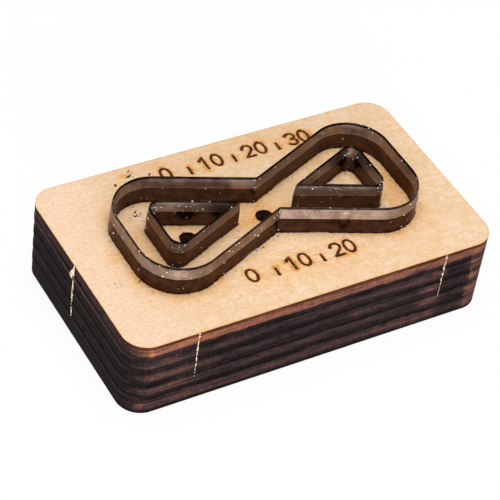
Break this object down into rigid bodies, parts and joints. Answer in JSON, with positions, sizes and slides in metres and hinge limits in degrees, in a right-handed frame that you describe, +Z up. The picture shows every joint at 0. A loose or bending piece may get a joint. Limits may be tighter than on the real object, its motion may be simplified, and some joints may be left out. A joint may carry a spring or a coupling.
{
  "type": "steel rule die",
  "caption": "Bow-shaped steel rule die: a laser-cut plywood board with bent, bevelled cutting rules set on edge, inner window rules and push-out holes, for cutting leather, felt or card.",
  "frame": {"origin": "centre of the board's back face, on the surface that the die lies on", "axes": "+X along the bow's length, +Z up towards the cutting edges"},
  "size_m": [0.0804, 0.0466, 0.0238],
  "materials": {
    "plywood": "sanded birch face with laser-charred edges",
    "rule_steel": "brown-tempered strip with a ground bevel"
  },
  "bodies": {
    "root": {"die_board": "plywood", "bow_rule": "rule_steel", "left_window_rule": "rule_steel", "right_window_rule": "rule_steel"}
  },
  "joints": []
}
